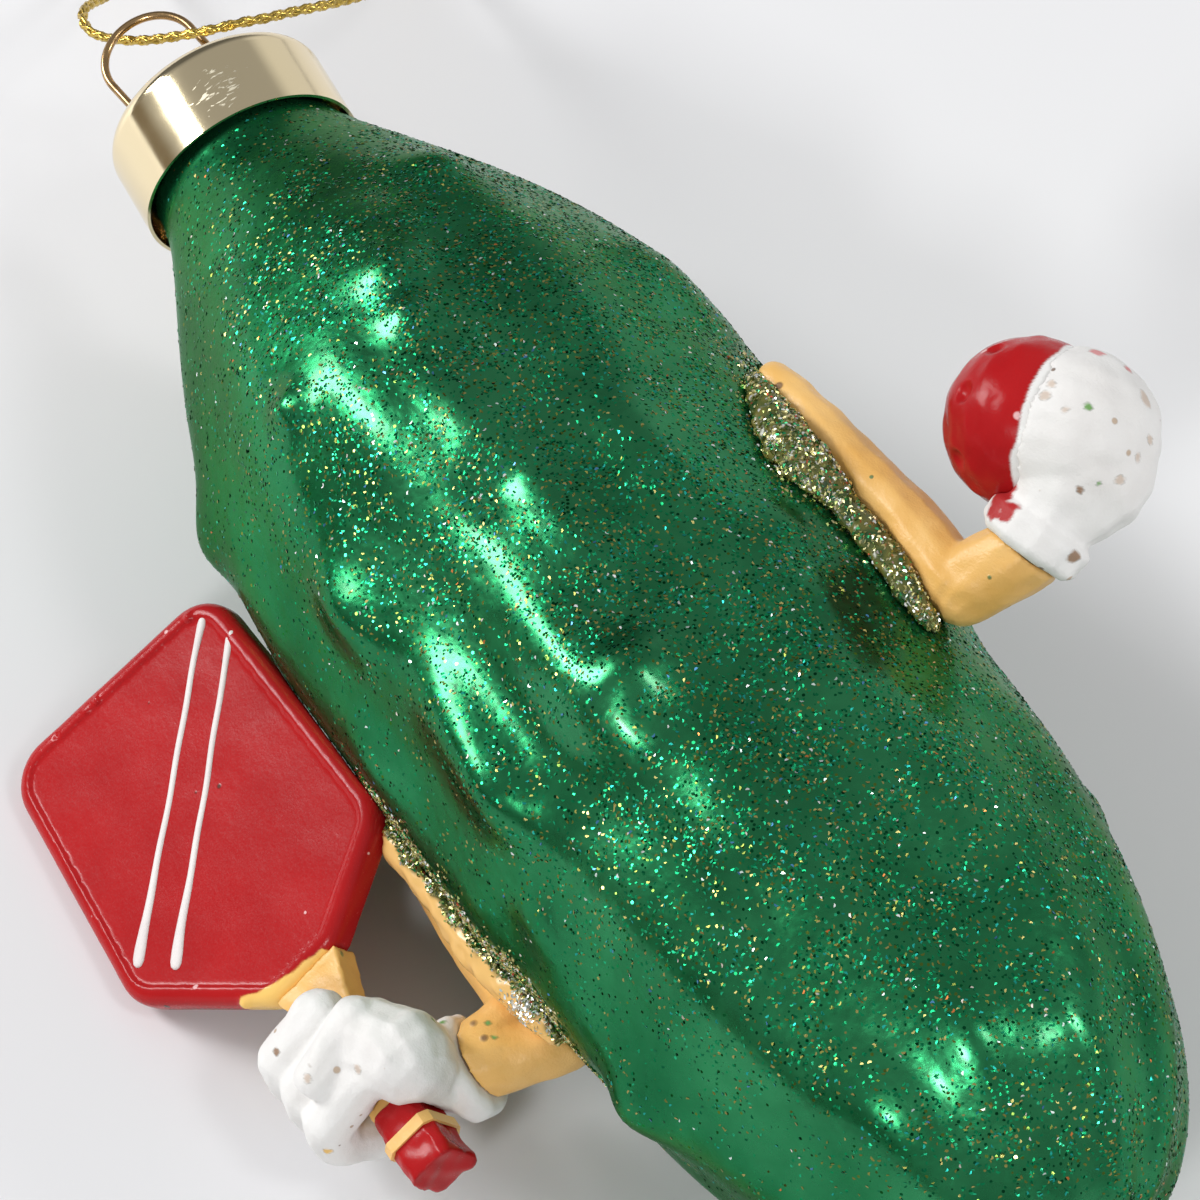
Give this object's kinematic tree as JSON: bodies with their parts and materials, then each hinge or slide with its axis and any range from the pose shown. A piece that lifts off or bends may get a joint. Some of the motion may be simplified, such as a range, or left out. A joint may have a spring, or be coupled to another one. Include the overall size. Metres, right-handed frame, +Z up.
{
  "type": "glass pickle ornament with paddle and ball",
  "caption": "Hanging glass ornament shaped as a warty green pickle with a metal cap, wire hanger, gold thread and resin arms that hold a red paddle and a red dimpled ball.",
  "frame": {"origin": "middle of the lying ornament's length and width, on the table that it lies on, measured without its thread", "axes": "+Z up from the table, +X along the glass body from the cap to its rounded end, +Y towards the side of the ball"},
  "size_m": [0.204, 0.0886, 0.0592],
  "materials": {
    "green_glass": "satin green lacquer over silvered blown glass, with scattered glitter",
    "gold_cap": "brushed gold sheet, scuffed",
    "hanger_wire": "drawn gold-coloured spring wire",
    "gold_thread": "braided metallic gold thread",
    "yellow_paint": "satin yellow hand paint on cast resin",
    "glitter_glue": "clear glue packed with gold and green glitter",
    "white_paint": "matte white hand paint on cast resin",
    "paddle_red": "semi-gloss red hand paint on cast resin",
    "ball_red": "glossy red hand paint on cast resin"
  },
  "bodies": {
    "ornament": {"glass_body": "green_glass", "paddle_arm": "yellow_paint", "paddle_arm_glue": "glitter_glue", "paddle_glove": "white_paint", "paddle_blade": "paddle_red", "paddle_stripes": "white_paint", "paddle_handle": "yellow_paint", "handle_butt": "paddle_red", "butt_band": "yellow_paint", "ball_arm": "yellow_paint", "ball_arm_glue": "glitter_glue", "ball_glove": "white_paint", "ball": "ball_red"},
    "cap": {"cap": "gold_cap"},
    "hanger": {"hanger_wire": "hanger_wire", "hanging_cord": "gold_thread", "cord_knot": "gold_thread"}
  },
  "joints": [
    {"name": "cap_pull", "type": "slide", "parent": "ornament", "child": "cap", "axis": [-1, 0, 0], "range_m": [0, 0.024]},
    {"name": "hanger_rock", "type": "hinge", "parent": "cap", "child": "hanger", "pos_m": [-0.06489, 0.0037, 0.0251], "axis": [-0.0651, 0.9641, 0.2575], "range_deg": [-6, 6]}
  ]
}
